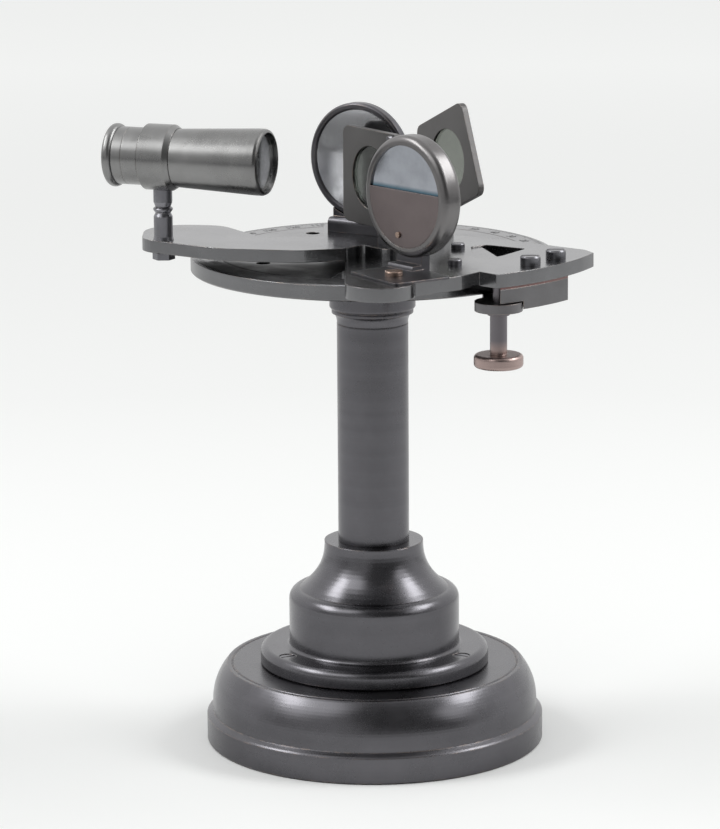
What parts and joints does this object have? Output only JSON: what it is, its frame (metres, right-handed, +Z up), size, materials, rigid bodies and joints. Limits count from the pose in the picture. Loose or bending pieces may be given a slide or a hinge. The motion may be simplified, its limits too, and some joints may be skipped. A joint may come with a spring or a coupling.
{
  "type": "small sextant on a pedestal stand",
  "caption": "Small sextant on a turned pedestal: disc limb, pivoting arms, telescope, index and horizon mirrors, swinging shades and a thumb-screw clamp.",
  "frame": {"origin": "centre of the base's underside, on the column's axis", "axes": "+Z up along the column, -Y towards the near side, with the telescope at -X and the clamp at +X"},
  "size_m": [0.1343, 0.1266, 0.184],
  "materials": {
    "dark_metal": "dark gunmetal plating, satin",
    "plate_metal": "gunmetal plating, polished flat",
    "screw_metal": "blued steel screw, turned",
    "brass_screw": "plain brass, turned",
    "thumb_metal": "reddish brown bronze plating, satin",
    "panel": "brown lacquer, satin",
    "mirror_glass": "silvered glass",
    "lens_glass": "clear polished lens",
    "shade_glass": "grey green tinted glass",
    "felt": "green felt",
    "red_felt": "reddish felt"
  },
  "bodies": {
    "stand": {"base": "dark_metal", "base_felt": "felt", "column_foot": "dark_metal", "foot_screws": "screw_metal", "column": "dark_metal", "column_collar": "dark_metal", "limb_disc": "plate_metal", "pivot_screw": "screw_metal", "pivot_washer": "plate_metal"},
    "index_body": {"index_plate": "plate_metal", "plate_screws": "screw_metal", "clamp_block": "dark_metal", "clamp_felt": "red_felt", "clamp_screws": "screw_metal", "horizon_foot": "screw_metal", "horizon_foot_screw": "brass_screw", "horizon_frame": "dark_metal", "horizon_glass": "mirror_glass", "horizon_panel": "panel", "horizon_pin": "screw_metal"},
    "jaw_body": {"clamp_jaw": "dark_metal"},
    "thumb_body": {"thumb_screw": "thumb_metal"},
    "arm_body": {"telescope_arm": "plate_metal", "telescope_post": "screw_metal", "post_nut": "screw_metal", "telescope_collar": "dark_metal", "telescope_tube": "dark_metal", "objective_lens": "lens_glass", "index_foot": "dark_metal", "index_frame": "dark_metal", "index_glass": "mirror_glass", "front_shade_post": "screw_metal", "front_shade_screw": "screw_metal", "rear_shade_post": "screw_metal", "rear_shade_screw": "screw_metal"},
    "eyepiece_body": {"draw_tube": "dark_metal", "eyepiece_ring": "dark_metal", "eyepiece_lens": "lens_glass"},
    "front_shade_body": {"front_shade": "dark_metal", "front_shade_glass": "shade_glass", "front_shade_pin": "screw_metal"},
    "rear_shade_body": {"rear_shade": "dark_metal", "rear_shade_glass": "shade_glass"}
  },
  "joints": [
    {"name": "index_turn", "type": "hinge", "parent": "stand", "child": "index_body", "pos_m": [0, 0, 0.14072], "axis": [0, 0, 1], "continuous": true},
    {"name": "arm_turn", "type": "hinge", "parent": "index_body", "child": "arm_body", "pos_m": [0, 0, 0.14452], "axis": [0, 0, 1], "range_deg": [0, 16]},
    {"name": "focus_slide", "type": "slide", "parent": "arm_body", "child": "eyepiece_body", "axis": [-0.9397, 0.342, 0], "range_m": [0, 0.006]},
    {"name": "front_shade_swing", "type": "hinge", "parent": "arm_body", "child": "front_shade_body", "pos_m": [0.00598, -0.03294, 0.15452], "axis": [-0.8192, -0.5736, 0], "range_deg": [-7, 6]},
    {"name": "rear_shade_swing", "type": "hinge", "parent": "arm_body", "child": "rear_shade_body", "pos_m": [0.01827, 0.0058, 0.15202], "axis": [-0.866, -0.5, 0], "range_deg": [-23, 67]},
    {"name": "jaw_slide", "type": "slide", "parent": "index_body", "child": "jaw_body", "axis": [0, 0, -1], "range_m": [0, 0.0016]},
    {"name": "thumb_turn", "type": "hinge", "parent": "jaw_body", "child": "thumb_body", "pos_m": [0.0338, -0.0497, 0.125], "axis": [0, 0, -1], "range_deg": [0, 720]}
  ],
  "couplings": [
    {"joint": "thumb_turn", "follows": "jaw_slide", "rad_per_m": 7854}
  ]
}
